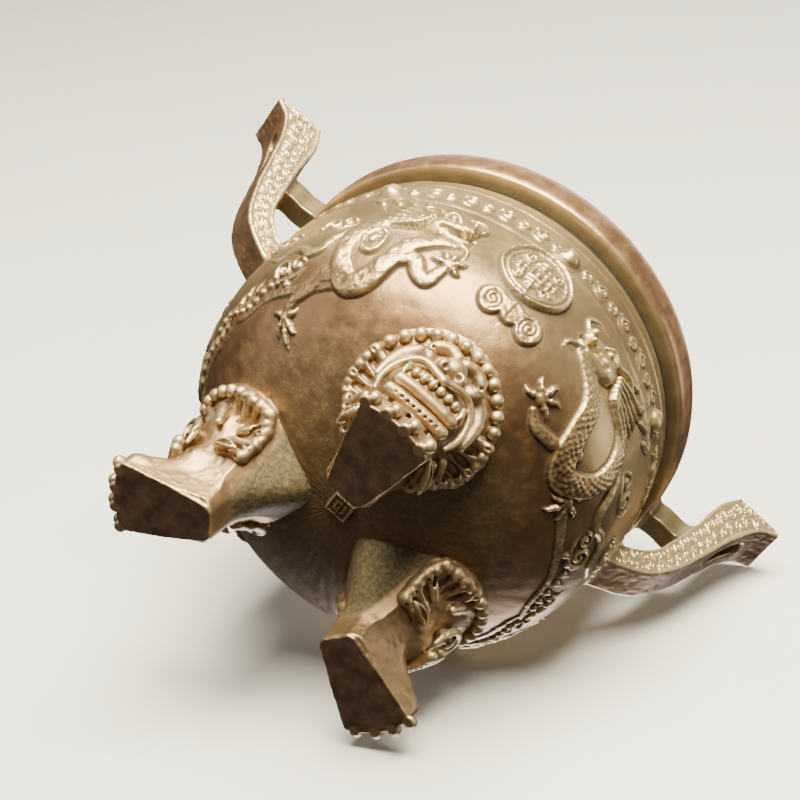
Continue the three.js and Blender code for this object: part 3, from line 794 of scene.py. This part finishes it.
def add_head(clay, turn, lift, back, mane_back):
    """The lion's head: mane plate and beads, hair, brows, eyes, nose, mouth, chin and ears. It is
    turned about the bowl's axis, and its face is moved up by lift and inward by back, and its
    mane inward by mane_back."""
    cosine, sine = math.cos(math.radians(turn)), math.sin(math.radians(turn))

    def turned(place):
        return np.array([place[0] * cosine - place[1] * sine,
                         place[0] * sine + place[1] * cosine, place[2]])

    def at(a, b, c):
        return turned((a - back, b, c + lift))

    def rim_place(angle, out, share=1.0):
        return mane_point(angle, out, share, mane_back)

    def crest_place(a, b, c):
        return np.array((a - mane_back * min(1, max(0, (c - 7) / 9)), b, c))

    def pair(path):
        """The path on both sides of the face, in space."""
        return [[(*at(a, sign * b, c), share) for a, b, c, share in path] for sign in (-1, 1)]

    spans, x, y, z = clay.grids((10, -19, 8), (43, 19, 34))
    belly = belly_distance(x, y, z)
    hx, hy = x * cosine + y * sine, y * cosine - x * sine
    rim = (np.hypot((hx + mane_back - MANE_MIDDLE) / (MANE_REACH + 0.7), hy / (MANE_HALF + 0.7)) - 1) * 12.5
    clay.join(spans, smooth_max(belly - 1.9, smooth_max(rim, 18.5 - mane_back - hx, 3.0), 1.2), 0.5)
    # the skull, the cheeks, the muzzle and the jaw
    clay.ball(at(28.9, 0, 20.6), (5.9, 8.5, 7.2), 2.5)
    clay.ball(at(31.6, 0, 18.6), (4.2, 5.6, 4.6), 1.2)
    clay.ball(at(31.4, 0, 24.4), (4.0, 6.6, 3.2), 1.0)
    clay.ball(at(30.4, 0, 11.6), (3.3, 5.9, 3.4), 2.5)
    # the open mouth, and its lip: a thin edge that arches twice and runs down to the jaw
    clay.ball(at(37.4, 0, 14.9), (3.4, 7.0, 2.5), 0.7, cut=True)
    lip = [(36.5, 0, 17.3, 1), (36.4, 2.2, 18.1, 1), (35.9, 4.5, 18.9, 1), (34.7, 6.4, 18.6, 1),
           (32.8, 8.1, 16.4, 1), (31.6, 8.5, 13.2, .9), (31.4, 7.9, 10.2, .6)]
    cheek = [(28.9, 9.6, 16.8, .6), (30.0, 9.4, 20.0, .9), (31.2, 8.4, 23.0, 1), (32.6, 6.6, 24.3, 1),
             (33.9, 4.9, 23.1, .8)]
    brow = [(34.4, 5.9, 23.9, .5), (35.3, 4.9, 25.0, .9), (35.8, 3.0, 25.9, 1), (36.0, 1.0, 25.3, .9)]
    for path in pair(lip):
        clay.rope(path, 0.72, 0.5)
    for path in pair(cheek):
        clay.rope(path, 1.3, 0.9)
    for path in pair(brow):
        clay.rope(path, 1.3, 0.6)
    # inside it: a palate, six teeth, a flat tongue and a lower lip with a row of dots
    clay.rope([at(32.9, -5.8, 15.9), at(33.4, 0, 16.2), at(32.9, 5.8, 15.9)], 1.4, 0.3)
    for tooth in range(6):
        across = (tooth - 2.5) * 1.75
        clay.ball(at(35.3 - 0.02 * across ** 2, across, 16.1), (1.0, 0.78, 1.0), 0.1)
    clay.rope([at(34.5, -5.5, 12.6), at(34.9, -2.5, 12.5), at(34.9, 2.5, 12.5), at(34.5, 5.5, 12.6)],
              1.2, 0.15)
    clay.rope([at(33.5, -5.7, 10.0), at(33.9, -2.5, 9.9), at(33.9, 2.5, 9.9), at(33.5, 5.7, 10.0)],
              1.15, 0.15)
    for dot in range(8):
        across = (dot - 3.5) * 1.3
        clay.ball(at(34.55, across, 9.15), (0.32, 0.32, 0.32), 0.1, cut=True)
    # the nose: a broad round bulb with two wings and pitted nostrils
    clay.ball(at(35.9, 0, 22.3), (1.9, 2.5, 2.1), 0.5)
    for sign in (-1, 1):
        clay.ball(at(36.1, sign * 1.9, 20.9), (1.35, 1.3, 1.25), 0.35)
        clay.ball(at(37.1, sign * 1.45, 20.2), (0.75, 0.6, 0.6), 0.2, cut=True)
        clay.ball(at(34.7, sign * 5.4, 24.2), (1.0, 1.0, 0.9), 0.15)
        clay.ball(at(35.6, sign * 5.5, 23.9), (0.35, 0.35, 0.35), 0.1, cut=True)
        # a fang at each corner of the mouth
        fang = [(*at(34.6, sign * 6.0, 17.0), 1), (*at(34.6, sign * 6.2, 15.4), .8),
                (*at(34.3, sign * 6.0, 14.2), .3)]
        clay.rope(fang, 0.65, 0.2)
        # ears: hollow leaves that point back to the crest
        ear = [(25.6, 6.9, 12.6, .3), (23.6, 8.1, 11.8, 1), (21.6, 9.0, 11.1, .9), (19.6, 9.3, 10.6, .2)]
        hollow = [(a - 0.2, b + 0.75, c - 0.3, share * 0.5) for a, b, c, share in ear]
        clay.rope([(*turned(crest_place(a, sign * b, c)), share) for a, b, c, share in ear], 1.05, 0.4)
        clay.rope([(*turned(crest_place(a, sign * b, c)), share) for a, b, c, share in hollow], 1.0, 0.2,
                  cut=True)
        # locks of hair: each fans out from the cheek to the crest and ends in a curl
        locks = [(rim_place(sign * (LOCK_START + BEAD_TURN * lock), 1.7),
                  rim_place(sign * (LOCK_START - 3 + BEAD_TURN * lock), 2.6, 0.62))
                 for lock in range(UPPER_LOCKS)]
        locks += [(crest_place(a, sign * b, c), crest_place(d, sign * e, f))
                  for (a, b, c), (d, e, f) in LOWER_LOCKS]
        crest = spline([tip for tip, root in locks], 0.8)
        clay.rope([turned(place - (0.1, 0, 0.1)) for place in crest], 1.0, 0.5)
        for place in resampled(crest, 1.9):
            clay.ball(turned(place + (0.35, 0, -0.35)), 1.15, 0.12)
        for lock, (tip, root) in enumerate(locks):
            middle = 0.5 * (tip + root) + (0.3, 0, 0.3 - 0.35 * (lock % 2))
            path = spline([root, middle, tip], 0.4)
            width = np.linspace(0.5, 1, len(path)) ** 0.7
            clay.rope([(*turned(place), share) for place, share in zip(path, width)], 1.3, 0.35)
            curl = tip + (0.9, sign * 0.35, -1.2) - (0, 0, 0.2 * (lock % 2))
            curl_end = curl + 0.35 * (root - tip) / 2
            clay.rope([(*turned(curl), 1), (*turned(curl_end), 0.4)], 0.38, 0.2, cut=True)
            if lock:
                near_tip, near_root = 0.5 * (tip + before[0]), 0.5 * (root + before[1])
                gap = [near_tip + (near_root - near_tip) * place + (0.1, 0, -0.9)
                       for place in (0.22, 0.4, 0.6, 0.85)]
                clay.rope([(*turned(place), share) for place, share in zip(gap, (0.8, 1, 1, 0.4))],
                          0.72, 0.25, cut=True)
            before = (tip, root)
        # a curl behind the corner of the mouth
        curl = [(29.6, 8.9, 12.6, .5), (28.0, 9.0, 15.6, 1), (26.0, 8.8, 16.6, 1), (24.9, 8.4, 15.0, .9),
                (26.0, 8.2, 13.9, .7)]
        curl = [(*at(a + 0.5 * back, sign * b, c), share) for a, b, c, share in curl]
        clay.rope(curl, 0.5, 0.3, cut=True)
    for bead in range(MANE_BEADS):
        clay.ball(turned(rim_place((bead - (MANE_BEADS - 1) / 2) * BEAD_TURN, 2.0)), 1.27, 0.12)


def leg_field(turn, lift, back, mane_back):
    """Leg and head together, trimmed by the belly, with a raised braze seam round the root."""
    clay = leg_clay(turn, back, mane_back)
    add_head(clay, turn, lift, back, mane_back)
    spans, x, y, z = clay.grids()
    belly = belly_distance(x, y, z)
    seam = smooth_min(clay.field, belly + 0.15, 1.0)
    clay.field = np.maximum(seam, clay.field - 0.6)
    clay.roughen(0.035, 2.2, 5)
    clay.roughen(0.05, 0.8, 6)
    clay.field = np.maximum(clay.field, -(belly + 0.8))
    clay.field = np.maximum(clay.field, -z)
    return clay


def build_leg(name):
    angle, turn, lift, back, mane_back = LEGS[name]
    clay = leg_field(turn, lift, back, mane_back)
    leg = clay.mesh(name.replace("leg", "lion_leg"), angle)
    set_wear_masks(leg.data, 6, 40)
    x, y, z = vertex_places(leg.data).T
    cosine, sine = math.cos(math.radians(angle)), math.sin(math.radians(angle))
    out, across = x * cosine + y * sine, y * cosine - x * sine
    # the crust: the rough back of the root, between the shank and the belly
    edge = 17.4 - mane_back * np.clip((z - 7) / 9, 0, 1)
    crust = np.clip((z - 3.5) / 4, 0, 1) * np.clip((edge - out) / 1.5, 0, 1)
    set_mask(leg.data, "crust", crust)
    pads = np.min([np.hypot(out - PAD_R + 0.03 * toe ** 2, across - toe + PAD_SHIFT) for toe in TOES], 0)
    sole = np.clip((0.3 - z) / 0.15, 0, 1) * np.clip((pads - 1.05) / 0.2, 0, 1)
    set_mask(leg.data, "sole", sole * np.clip((37.0 - out) / 0.3, 0, 1))
    return leg



# ---- handles and struts: drawn for the right side, turned half round for the left --------------
HANDLE_OUTER = [(38, 49.6), (45, 52.9), (51.4, 58), (55.4, 66), (58.2, 75.5), (60.8, 84),
                (63.6, 89.8), (67, 92.4)]
HANDLE_INNER = [(56.4, 94), (53.8, 88), (52.6, 79.5), (51, 71.5), (48.9, 64.2), (44.6, 59.6),
                (38, 57.4)]
SLOT_LOW, SLOT_HIGH, SLOT_HALF = 77.5, 88.5, 1.9
SCROLLS = 17  # along each row
STRUT_Z, STRUT_HALF_WIDTH, STRUT_HALF_HEIGHT = 77.0, 2.35, 2.9
HANDLE_CELL = 0.17


def outline_distance(outline, x, z):
    """Signed distance to a closed outline in the plane of x and z, negative inside."""
    best = np.full(np.broadcast(x, z).shape, 1e9)
    inside = np.zeros(best.shape, bool)
    for (ax, az), (bx, bz) in zip(outline, np.roll(outline, -1, axis=0)):
        dx, dz = bx - ax, bz - az
        t = np.clip(((x - ax) * dx + (z - az) * dz) / max(dx * dx + dz * dz, 1e-9), 0, 1)
        best = np.minimum(best, np.hypot(x - ax - t * dx, z - az - t * dz))
        crosses = (az > z) != (bz > z)
        inside ^= crosses & (x < ax + (z - az) * dx / (dz if dz else 1e-9))
    return np.where(inside, -best, best)


def handle_half_width(z):
    return np.interp(z, [46, 58, 70, 82, 95], [3.9, 4.0, 4.6, 5.2, 5.7])


def build_handle(name, turn):
    clay = Clay((36, -7.2, 44), (68.2, 7.2, 95), HANDLE_CELL)
    spans, x, y, z = clay.grids()
    outline = np.vstack([spline(HANDLE_OUTER, 1.0), [(66.7, 93.6)], spline(HANDLE_INNER, 1.0)])
    side = outline_distance(outline, x[:, 0, :], z[:, 0, :])[:, None, :]
    across = np.abs(y) - handle_half_width(z)
    body = smooth_max(side, across, 0.7)
    # a shallow tray on both side faces, so that the scrolls lie inside a raised border
    tray = np.maximum(side + 0.75, np.abs(across) - 0.3)
    body = smooth_max(body, -tray, 0.3)
    slot_z = np.clip(z, SLOT_LOW + SLOT_HALF, SLOT_HIGH - SLOT_HALF)
    slot = np.hypot(y, z - slot_z) - SLOT_HALF
    body = smooth_max(body, -slot, 0.6)
    clay.join(spans, body, 0.2)
    add_handle_scrolls(clay)
    belly = np.hypot(x, y) - np.interp(z, [46, 58, 68.4], [42.5, 42.9, 41.9])
    body = clay.field
    seam = smooth_min(body, belly + 0.2, 1.8)
    clay.field = np.maximum(seam, body - 1.0)
    clay.roughen(0.07, 2.5, 7)
    clay.roughen(0.05, 0.8, 8)
    clay.field = np.maximum(clay.field, -(belly + 0.9))
    handle = clay.mesh(name, turn)
    set_wear_masks(handle.data, 6, 60)
    x, y, z = vertex_places(handle.data).T
    depth = handle_half_width(z) - np.abs(y)
    set_mask(handle.data, "gilt_and_painted_light", (0.7 - depth) / 0.3)
    return handle


def add_handle_scrolls(clay):
    """Two staggered rows of low C-scrolls on each side face."""
    outer, inner = spline(HANDLE_OUTER[1:], 0.3), spline(HANDLE_INNER[:-1], 0.3)[::-1]
    places = np.linspace(0.01, 0.95, SCROLLS)
    edges = [np.stack([np.interp(places, np.linspace(0, 1, len(edge)), edge[:, i])
                       for i in (0, 1)], 1) for edge in (outer, inner)]
    for face in (-1, 1):
        for number, (a, b) in enumerate(zip(*edges)):
            for row, share in enumerate((0.29, 0.71)):
                middle = a + (b - a) * (share + (0.03 if number % 2 else -0.03))
                lean = math.atan2(*(b - a)[::-1]) + row * math.pi
                radius = min(1.5, np.linalg.norm(b - a) * 0.17)
                # a long C outside and a small curl that fills it
                for reach, first, last, shrink in ((radius, -1.9, 1.9, 0.15),
                                                   (radius * 0.5, -1.2, 3.4, 0.6)):
                    t = np.linspace(0, 1, 8)
                    angle = lean + first + (last - first) * t
                    size = reach * (1 - shrink * t)
                    x, z = middle[0] + size * np.cos(angle), middle[1] + size * np.sin(angle)
                    y = face * (handle_half_width(z) - 0.3)
                    clay.rope(np.stack([x, y, z], 1), 0.24, 0.12)


def build_strut(name, turn):
    clay = Clay((42, -4.5, 71.5), (54.5, 4.5, 82.5), 0.16)
    spans, x, y, z = clay.grids()
    dx = np.maximum(42.4 - x, x - 54.2)
    wave = 0.12 * np.sin(x * 1.1)
    bar = smooth_max(np.abs(y + wave) - STRUT_HALF_WIDTH, np.abs(z - STRUT_Z) - STRUT_HALF_HEIGHT, 0.5)
    bar = np.maximum(bar, dx)
    # braze swells the bar where it meets the lip and the handle
    swell = np.minimum(np.abs(x - 43.6), np.abs(x - 52.2 - (z - STRUT_Z) * 0.2))
    clay.join(spans, bar - 0.5 * np.exp(-(swell / 0.7) ** 2), 0.2)
    strut = clay.mesh(name, turn)
    set_wear_masks(strut.data, 6, 40)
    return strut


# ---- materials -------------------------------------------------------------------------------
class Nodes:
    """Short names for the shader nodes that the materials and the world are made of."""

    def __init__(self, owner, output):
        owner.use_nodes = True
        self.tree = owner.node_tree
        self.tree.nodes.clear()
        self.output = self.add(output, {})

    def add(self, kind, inputs, **settings):
        """A new node with its settings, and its inputs linked to sockets or set to values."""
        node = self.tree.nodes.new("ShaderNode" + kind)
        for setting, value in settings.items():
            setattr(node, setting, value)
        for name, value in inputs.items():
            self.link(value, node.inputs[name])
        return node

    def link(self, value, socket):
        """Feeds the socket from another socket, or sets it to a number or a colour."""
        if isinstance(value, bpy.types.NodeSocket):
            self.tree.links.new(value, socket)
        else:
            socket.default_value = (*value, 1) if isinstance(value, tuple) else value

    def geometry(self, name):
        return self.add("NewGeometry", {}).outputs[name]

    def noise(self, size, detail, roughness=0.55):
        """Noise from 0 to 1 with features about `size` millimetres across."""
        node = self.add("TexNoise", {"Vector": self.geometry("Position"), "Scale": 1 / (size * MM),
                                     "Detail": detail, "Roughness": roughness})
        return node.outputs["Fac"]

    def mask(self, name):
        return self.add("Attribute", {}, attribute_name=name).outputs["Fac"]

    def math(self, operation, a, b, clamp=False):
        return self.add("Math", {0: a, 1: b}, operation=operation, use_clamp=clamp).outputs[0]

    def times(self, a, b):
        return self.math("MULTIPLY", a, b)

    def varied(self, value, noise, amount):
        """The value plus or minus up to half of `amount`, as the noise says."""
        return self.math("ADD", value, self.times(self.math("SUBTRACT", noise, 0.5), amount))

    def ramp(self, value, low, high):
        """value mapped from low..high to 0..1, smoothly and clamped."""
        node = self.add("MapRange", {"Value": value, "From Min": low, "From Max": high},
                        interpolation_type="SMOOTHSTEP")
        return node.outputs["Result"]

    def mix(self, share, a, b):
        return self.add("Mix", {"Factor": share, 6: a, 7: b}, data_type="RGBA").outputs[2]

    def bump(self, height, strength, distance, inputs):
        node = self.add("Bump", {"Strength": strength, "Distance": distance * MM, "Height": height,
                                 **inputs})
        return node.outputs["Normal"]

    def blend(self, share, a, b):
        """The shader a, or b where share is 1."""
        return self.add("MixShader", {0: share, 1: a.outputs[0], 2: b.outputs[0]})

    def finish(self, shader):
        self.link(shader.outputs[0], self.output.inputs["Surface"])


def bronze(name, brown, pale, worn, rough):
    """Old bronze: brown patina, pale gold where it is rubbed, a painted highlight that makes the bowl's
    upper belly paler, dirt in hollows, and olive crust, dark soles, copper lip and grey neck where the
    mesh's masks say so."""
    material = bpy.data.materials.new(name)
    n = Nodes(material, "OutputMaterial")
    broad, middle, fine = n.noise(18, 3), n.noise(3.2, 5), n.noise(0.7, 3)
    deep = tuple(c * 0.72 for c in brown)
    warm = (brown[0] * 1.3, brown[1] * 1.15, brown[2])
    color = n.mix(n.ramp(broad, 0.3, 0.7), deep, brown)
    color = n.mix(n.times(n.ramp(middle, 0.42, 0.7), 0.5), color, warm)
    # gilt: a paler colour in soft patches, rubbed gilding on the handles' faces and, on the bowl, a painted
    # highlight that stands in for the light on the upper belly
    gilt_and_painted_light = n.varied(n.mask("gilt_and_painted_light"), broad, 0.9)
    gilt_and_painted_light = n.times(n.ramp(gilt_and_painted_light, 0.1, 1.1), n.ramp(n.mask("gilt_and_painted_light"), 0.0, 0.2))
    half_pale = tuple(0.5 * (a + b) for a, b in zip(brown, pale))
    color = n.mix(gilt_and_painted_light, color, half_pale)
    rubbed = n.varied(n.mask("ridge"), middle, 0.6)
    rubbed = n.math("MULTIPLY", n.ramp(rubbed, 0.1, 0.95), worn, clamp=True)
    color = n.mix(rubbed, color, pale)
    copper_color = n.mix(n.ramp(middle, 0.35, 0.7), (0.36, 0.17, 0.085), (0.56, 0.31, 0.17))
    color = n.mix(n.times(n.mask("copper"), 0.85), color, copper_color)
    dirt = n.ramp(n.varied(n.mask("hollow"), fine, 0.3), 0.2, 0.95)
    color = n.mix(n.times(dirt, 0.8), color, (0.05, 0.034, 0.021))
    groove = n.times(n.mask("groove"), 0.9)
    color = n.mix(groove, color, n.mix(middle, (0.05, 0.05, 0.035), (0.15, 0.13, 0.085)))
    inner = n.mask("inner")
    inner_color = n.mix(n.ramp(middle, 0.4, 0.65), (0.04, 0.033, 0.026), (0.12, 0.1, 0.075))
    color = n.mix(inner, color, inner_color)
    crust = n.varied(n.mask("crust"), middle, 0.7)
    crust = n.times(n.ramp(crust, 0.2, 0.9), n.ramp(n.mask("crust"), 0.0, 0.15))
    crust_color = n.mix(n.ramp(fine, 0.35, 0.65), (0.07, 0.06, 0.03), (0.18, 0.15, 0.075))
    color = n.mix(n.times(crust, 0.85), color, crust_color)
    sole_color = n.mix(n.ramp(middle, 0.3, 0.75), (0.19, 0.115, 0.07), (0.36, 0.225, 0.135))
    color = n.mix(n.mask("sole"), color, sole_color)
    dull = n.math("MAXIMUM", n.math("MAXIMUM", crust, inner), n.math("MAXIMUM", groove, dirt))
    roughness = n.varied(rough, middle, 0.2)
    roughness = n.math("ADD", roughness, n.times(dull, 0.25), clamp=True)
    metallic = n.math("SUBTRACT", 0.86, n.times(dull, 0.5), clamp=True)
    # the skin: fine sand-cast grain, soft hammer-like waves, a few pits, and a coarse crust
    pits = n.ramp(n.noise(0.9, 2), 0.62, 0.75)
    grain = n.math("ADD", fine, n.times(n.noise(0.28, 2), 0.6))
    grain = n.math("SUBTRACT", grain, n.times(pits, 0.6))
    normal = n.bump(n.noise(5, 2), 0.3, 0.4, {})
    normal = n.bump(grain, 0.4, 0.06, {"Normal": normal})
    normal = n.bump(n.times(n.noise(1.1, 6, 0.7), crust), 0.5, 0.3, {"Normal": normal})
    n.finish(n.add("BsdfPrincipled", {"Base Color": color, "Metallic": metallic,
                                      "Roughness": roughness, "Normal": normal}))
    return material


# ---- assembly --------------------------------------------------------------------------------
def finish_piece(piece, node, material):
    piece.data.materials.append(material)
    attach(piece, "root")
    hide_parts(node)


BOWL_BRONZE = bronze("bowl_bronze", (0.3, 0.172, 0.088), (0.88, 0.71, 0.36), 0.6, 0.36)
LEG_BRONZE = bronze("leg_bronze", (0.46, 0.31, 0.17), (0.92, 0.77, 0.44), 1.0, 0.44)
HANDLE_BRONZE = bronze("handle_bronze", (0.36, 0.22, 0.12), (0.92, 0.77, 0.44), 0.9, 0.4)
STRUT_BRONZE = bronze("strut_bronze", (0.42, 0.34, 0.19), (0.78, 0.68, 0.42), 0.8, 0.42)

finish_piece(build_bowl(), "bowl", BOWL_BRONZE)
for leg_name in LEGS:
    finish_piece(build_leg(leg_name), leg_name, LEG_BRONZE)
for side_name, half_turn in (("right", 0), ("left", 180)):
    finish_piece(build_handle("scroll_handle_" + side_name, half_turn), "handle_" + side_name,
                 HANDLE_BRONZE)
    finish_piece(build_strut("brazed_strut_" + side_name, half_turn), "handle_strut_" + side_name,
                 STRUT_BRONZE)


# ---- floors, lights and camera ---------------------------------------------------------------
CAMERA_PLACE = Vector((20.3, -282.4, -304.7)) * MM
CAMERA_AIM = Vector((-6.2, -0.9, 50.5)) * MM
CAMERA_ROLL = 45.7
CAMERA_LENS = 108
BACKDROP = (0.5, 0.49, 0.48)  # as the camera sees it
STEEPLY_FROM_BELOW = -0.4  # upward part of the direction to a camera that sees the lying floor
LYING_UP = Vector((-0.634, -0.769, 0.086)).normalized()  # up for a burner that lies on its side


def floor_material(name, seen_from_above):
    """Pale matt paper that only camera rays see, and only from its own side of the ground."""
    material = bpy.data.materials.new(name)
    n = Nodes(material, "OutputMaterial")
    paper = n.add("BsdfDiffuse", {"Color": n.mix(n.noise(40, 4), (0.76, 0.76, 0.75), (0.8, 0.8, 0.79))})
    towards = n.add("SeparateXYZ", {0: n.geometry("Incoming")}).outputs["Z"]
    if seen_from_above:
        view = n.math("GREATER_THAN", towards, 0.0)
    else:
        view = n.math("LESS_THAN", towards, STEEPLY_FROM_BELOW)
    seen = n.times(n.add("LightPath", {}).outputs["Is Camera Ray"], view)
    # the paper fades into the backdrop far from the burner
    reach = n.add("VectorMath", {0: n.geometry("Position")}, operation="LENGTH").outputs["Value"]
    fade = n.blend(n.ramp(reach, 0.5, 1.6), paper, n.add("Emission", {"Color": BACKDROP}))
    n.finish(n.blend(seen, n.add("BsdfTransparent", {}), fade))
    return material


def floor(name, middle, up, seen_from_above):
    half = 3.0
    mesh = bpy.data.meshes.new(name)
    corners = [(-half, -half, 0), (half, -half, 0), (half, half, 0), (-half, half, 0)]
    mesh.from_pydata(corners, [], [(0, 1, 2, 3)])
    plane = bpy.data.objects.new(name, mesh)
    plane.rotation_mode = "QUATERNION"
    plane.rotation_quaternion = up.to_track_quat("Z", "Y")
    plane.location = middle
    mesh.materials.append(floor_material(name, seen_from_above))
    bpy.context.scene.collection.objects.link(plane)


def lowest_along(up):
    """How far the whole burner reaches against `up`: where a floor would carry it."""
    return min(up.dot(vertex.co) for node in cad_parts.values() for vertex in node.data.vertices)


def area_light(name, toward, distance, size, power, tint=(1, 1, 1)):
    """A soft square lamp in the direction `toward` from the middle of the burner."""
    middle = Vector((0, 0, 0.045))
    lamp = bpy.data.lights.new(name, "AREA")
    lamp.size = size
    lamp.energy = power
    lamp.color = tint
    light = bpy.data.objects.new(name, lamp)
    direction = Vector(toward).normalized()
    light.location = middle + direction * distance
    light.rotation_mode = "QUATERNION"
    light.rotation_quaternion = direction.to_track_quat("Z", "Y")
    bpy.context.scene.collection.objects.link(light)


floor("floor_lying", LYING_UP * lowest_along(LYING_UP), LYING_UP, False)
floor("floor_standing", Vector((0, 0, 0)), Vector((0, 0, 1)), True)

bpy.context.scene.world = bpy.data.worlds.new("studio")
studio = Nodes(bpy.context.scene.world, "OutputWorld")
dim = studio.add("Background", {"Color": (0.92, 0.88, 0.84), "Strength": 0.12})
shown = studio.add("Background", {"Color": BACKDROP})
studio.finish(studio.blend(studio.add("LightPath", {}).outputs["Is Camera Ray"], dim, shown))
area_light("key", (-0.5, -0.82, 0.02), 0.7, 0.55, 31, (1, 0.92, 0.69))
area_light("front", (0.8, -0.4, 0.5), 0.8, 0.4, 1.0, (1, 0.95, 0.88))
area_light("top", (-0.1, 0.1, 1), 0.8, 0.6, 2.5, (1, 0.96, 0.9))
area_light("below", (-0.9, 0.1, -0.35), 0.8, 0.4, 0.8)
area_light("back", (0.5, 0.9, 0.3), 0.8, 0.5, 5)

camera = bpy.data.objects.new("camera", bpy.data.cameras.new("camera"))
camera.data.lens = CAMERA_LENS
camera.data.clip_start = 0.01
camera.rotation_mode = "QUATERNION"
camera.location = CAMERA_PLACE
looking = (CAMERA_AIM - CAMERA_PLACE).to_track_quat("-Z", "Y")
camera.rotation_quaternion = looking @ Quaternion((0, 0, 1), math.radians(CAMERA_ROLL))
bpy.context.scene.collection.objects.link(camera)
bpy.context.scene.camera = camera
